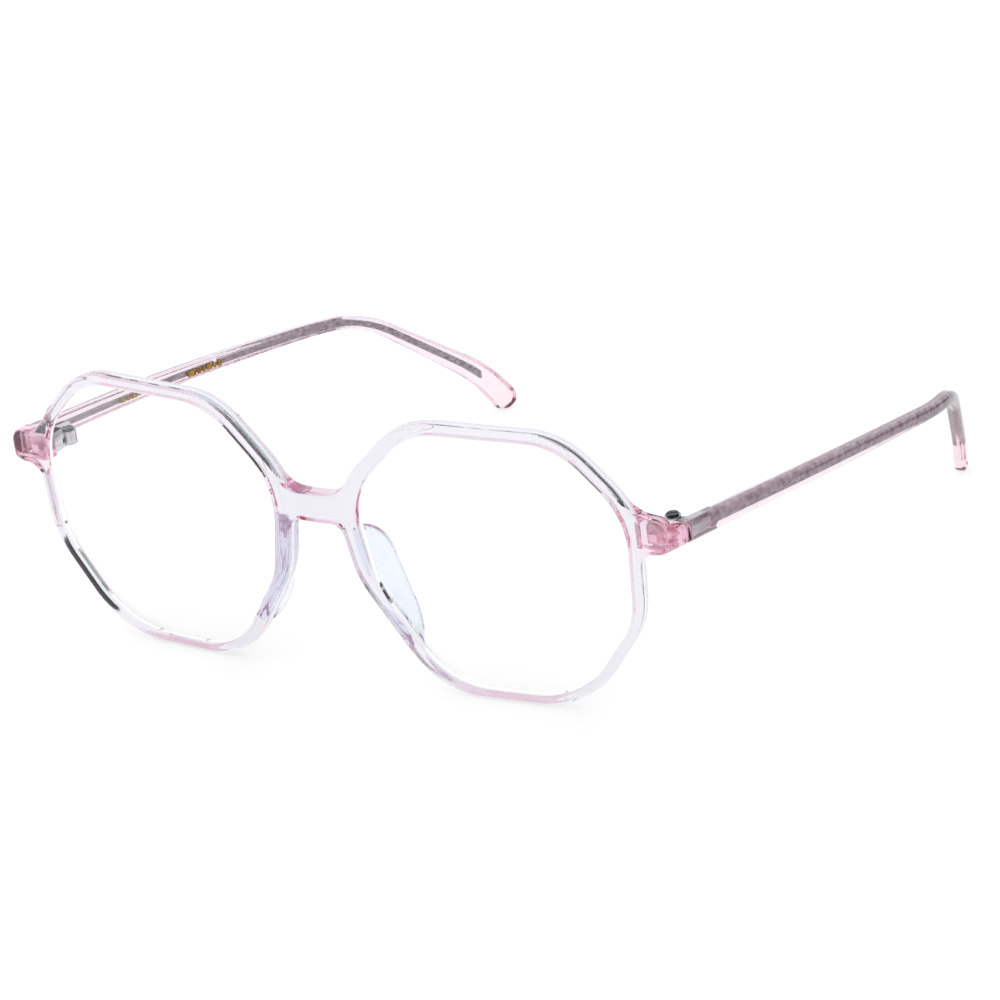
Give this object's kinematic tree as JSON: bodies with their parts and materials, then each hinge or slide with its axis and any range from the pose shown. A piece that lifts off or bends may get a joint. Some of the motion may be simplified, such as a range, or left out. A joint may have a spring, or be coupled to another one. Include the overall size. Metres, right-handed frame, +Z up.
{
  "type": "spectacles",
  "caption": "Clear acetate spectacles with rounded octagonal rims, blue light lenses, moulded nose pads and wire-cored folding temples on barrel hinges.",
  "frame": {"origin": "on the floor, under the middle of the spectacles' box", "axes": "+X to the wearer's left, +Y back along the temples, +Z up; the front leans forwards by 6.65 degrees"},
  "size_m": [0.1426, 0.1443, 0.052],
  "materials": {
    "clear_acetate": "polished, almost colourless with a pale pink tint",
    "temple_acetate": "polished, pale pink, deeper at the tips",
    "nose_pad_acetate": "polished, very pale blue-white",
    "lens": "clear, with an anti-reflection coating",
    "hinge_metal": "satin nickel silver",
    "screw_metal": "dark polished steel",
    "core_metal": "fine-drawn nickel silver, grey-mauve through the acetate"
  },
  "bodies": {
    "front": {"front": "clear_acetate", "lens_left": "lens", "lens_right": "lens", "nose_pad_left": "nose_pad_acetate", "nose_pad_right": "nose_pad_acetate", "front_hinge_left": "hinge_metal", "front_hinge_right": "hinge_metal", "hinge_screw_left": "screw_metal", "hinge_screw_right": "screw_metal"},
    "temple_left": {"temple_left": "temple_acetate", "core_wire_left": "core_metal", "temple_hinge_left": "hinge_metal"},
    "temple_right": {"temple_right": "temple_acetate", "core_wire_right": "core_metal", "temple_hinge_right": "hinge_metal"}
  },
  "joints": [
    {"name": "hinge_left", "type": "hinge", "parent": "front", "child": "temple_left", "pos_m": [0.06335, -0.05552, 0.03372], "axis": [0, -0.1158, 0.9933], "range_deg": [0, 90]},
    {"name": "hinge_right", "type": "hinge", "parent": "front", "child": "temple_right", "pos_m": [-0.06335, -0.05552, 0.03372], "axis": [0, 0.1158, -0.9933], "range_deg": [0, 85]}
  ]
}
